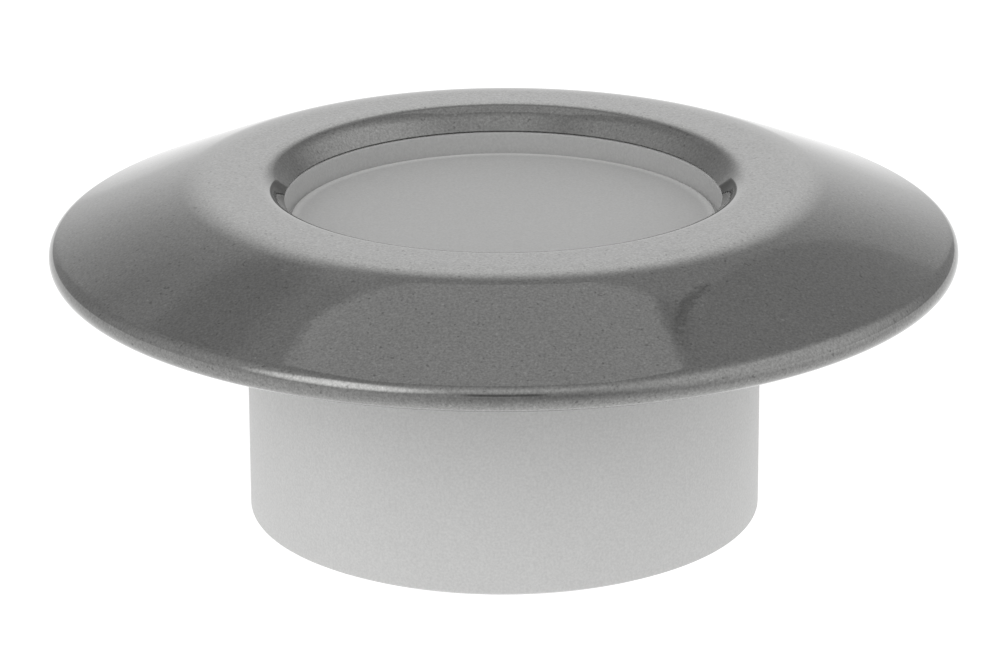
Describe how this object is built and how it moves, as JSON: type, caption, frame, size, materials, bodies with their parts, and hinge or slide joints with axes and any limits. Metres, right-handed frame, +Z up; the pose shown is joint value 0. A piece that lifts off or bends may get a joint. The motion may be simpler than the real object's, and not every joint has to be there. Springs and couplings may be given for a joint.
{
  "type": "pipe bushing",
  "caption": "Round polished metal collar with a sloping skirt, beaded rim and shallow recess, fitted over a short grey plastic sleeve that is closed on top and open below.",
  "frame": {"origin": "centre of the sleeve's open end, on the plane that it stands on", "axes": "+Z up along the turning axis of both pieces, out of the collar's recess; X and Y are free, because the part is round"},
  "size_m": [0.088, 0.088, 0.034],
  "materials": {
    "collar_metal": "polished, slightly satin, with fine pits and hairlines",
    "sleeve_plastic": "semi-gloss moulded light grey"
  },
  "bodies": {
    "root": {"collar": "collar_metal", "sleeve": "sleeve_plastic"}
  },
  "joints": []
}
